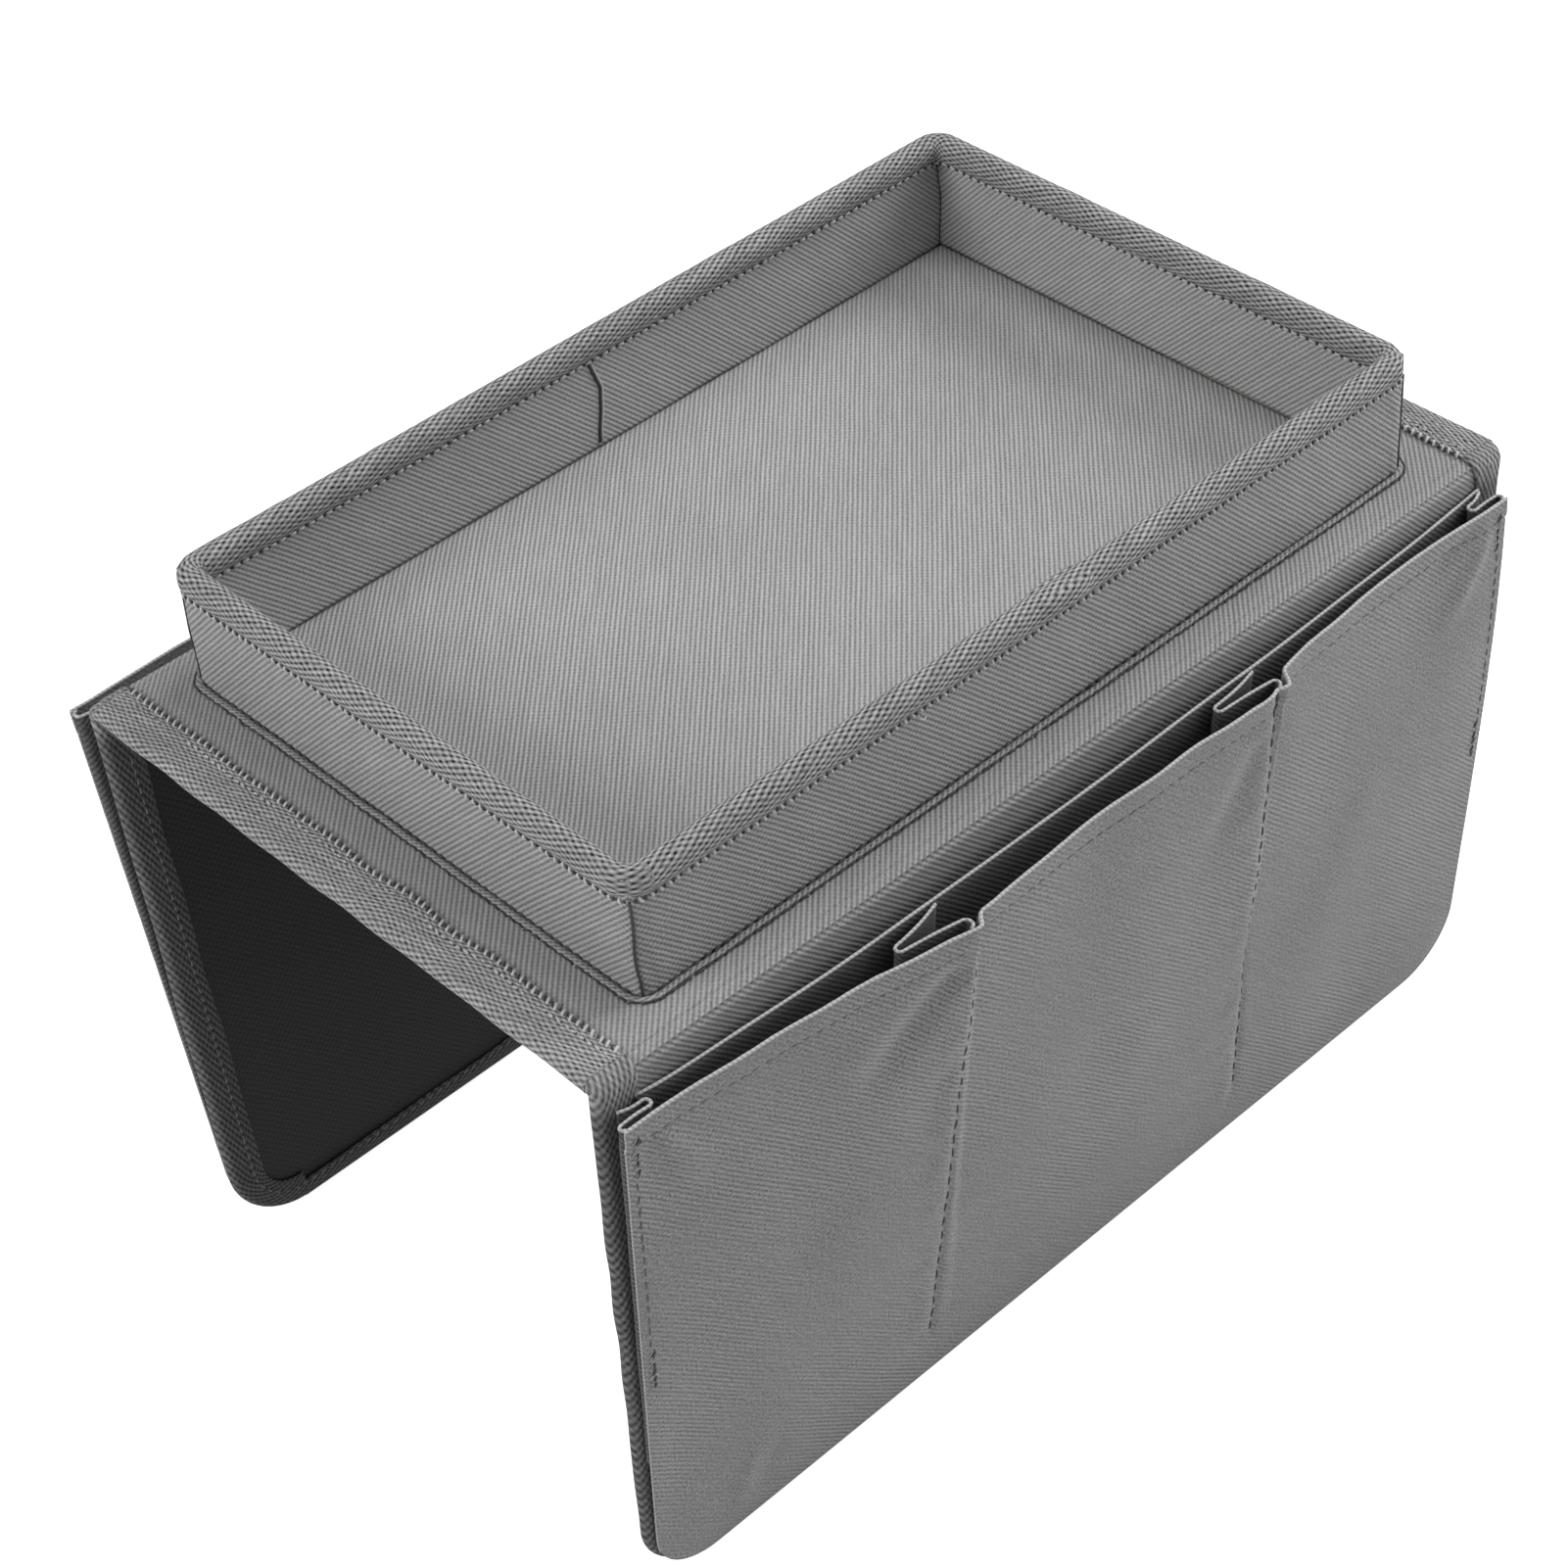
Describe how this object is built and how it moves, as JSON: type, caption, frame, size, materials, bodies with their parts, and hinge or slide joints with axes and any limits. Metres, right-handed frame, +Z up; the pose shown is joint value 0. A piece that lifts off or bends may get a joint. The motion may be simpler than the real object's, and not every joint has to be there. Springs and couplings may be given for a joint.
{
  "type": "sofa arm tray",
  "caption": "Cloth saddle for a sofa arm: a bound rectangular tray on a stiffened top panel, with two hinged flaps that carry flat and bellows pockets.",
  "frame": {"origin": "centre of the top panel's underside, the face that rests on the sofa arm", "axes": "+X along the sofa arm, +Z up out of the arm, -Y towards the front flap with three pockets"},
  "size_m": [0.33, 0.2371, 0.234],
  "materials": {
    "outer_cloth": "matt grey polyester oxford with fine diagonal ribs",
    "pocket_cloth": "matt grey polyester oxford, ribs level",
    "pleat_cloth": "matt grey polyester oxford, pleated",
    "binding_tape": "grey woven bias tape, stitched",
    "coated_lining": "black coated fine weave",
    "stiffening_board": "plain sheet, hidden"
  },
  "bodies": {
    "top": {"top_cover": "outer_cloth", "top_board": "stiffening_board", "top_lining": "coated_lining", "left_end_tape": "binding_tape", "right_end_tape": "binding_tape", "tray_floor_board": "stiffening_board", "tray_floor_cover": "outer_cloth", "tray_wall_cover": "outer_cloth", "tray_wall_lining": "outer_cloth", "tray_front_board": "stiffening_board", "tray_rear_board": "stiffening_board", "tray_left_board": "stiffening_board", "tray_right_board": "stiffening_board", "tray_rim_tape": "binding_tape", "front_fold_cloth": "outer_cloth", "front_fold_tapes": "binding_tape", "rear_fold_cloth": "outer_cloth", "rear_fold_tapes": "binding_tape"},
    "front_flap": {"front_flap_cover": "outer_cloth", "front_flap_board": "stiffening_board", "front_flap_lining": "coated_lining", "front_left_tape": "binding_tape", "front_right_tape": "binding_tape", "front_hem": "pocket_cloth", "front_flat_pocket": "pocket_cloth", "front_left_divider": "pleat_cloth", "front_right_divider": "pleat_cloth", "front_left_gusset": "pleat_cloth", "front_right_gusset": "pleat_cloth"},
    "front_pocket": {"front_pocket_panel": "pocket_cloth"},
    "rear_flap": {"rear_flap_cover": "outer_cloth", "rear_flap_board": "stiffening_board", "rear_flap_lining": "coated_lining", "rear_left_tape": "binding_tape", "rear_right_tape": "binding_tape", "rear_hem": "pocket_cloth", "rear_divider": "pleat_cloth", "rear_left_gusset": "pleat_cloth", "rear_right_gusset": "pleat_cloth"},
    "rear_pocket": {"rear_pocket_panel": "pocket_cloth"}
  },
  "joints": [
    {"name": "front_fold", "type": "hinge", "parent": "top", "child": "front_flap", "pos_m": [0, -0.0974, 0], "axis": [-1, 0, 0], "range_deg": [-26, 92], "deforming": ["front_fold_cloth", "front_fold_tapes"]},
    {"name": "rear_fold", "type": "hinge", "parent": "top", "child": "rear_flap", "pos_m": [0, 0.0974, 0], "axis": [1, 0, 0], "range_deg": [-24, 94], "deforming": ["rear_fold_cloth", "rear_fold_tapes"]},
    {"name": "front_pocket_mouth", "type": "hinge", "parent": "front_flap", "child": "front_pocket", "pos_m": [0, -0.09597, -0.18997], "axis": [1, 0, 0], "range_deg": [0, 4], "stiffness_Nm_per_rad": 0.5, "deforming": ["front_left_divider", "front_right_divider", "front_left_gusset", "front_right_gusset"]},
    {"name": "rear_pocket_mouth", "type": "hinge", "parent": "rear_flap", "child": "rear_pocket", "pos_m": [0, 0.08934, -0.1898], "axis": [-1, 0, 0], "range_deg": [-2, 4], "stiffness_Nm_per_rad": 0.5, "deforming": ["rear_divider", "rear_left_gusset", "rear_right_gusset"]}
  ]
}
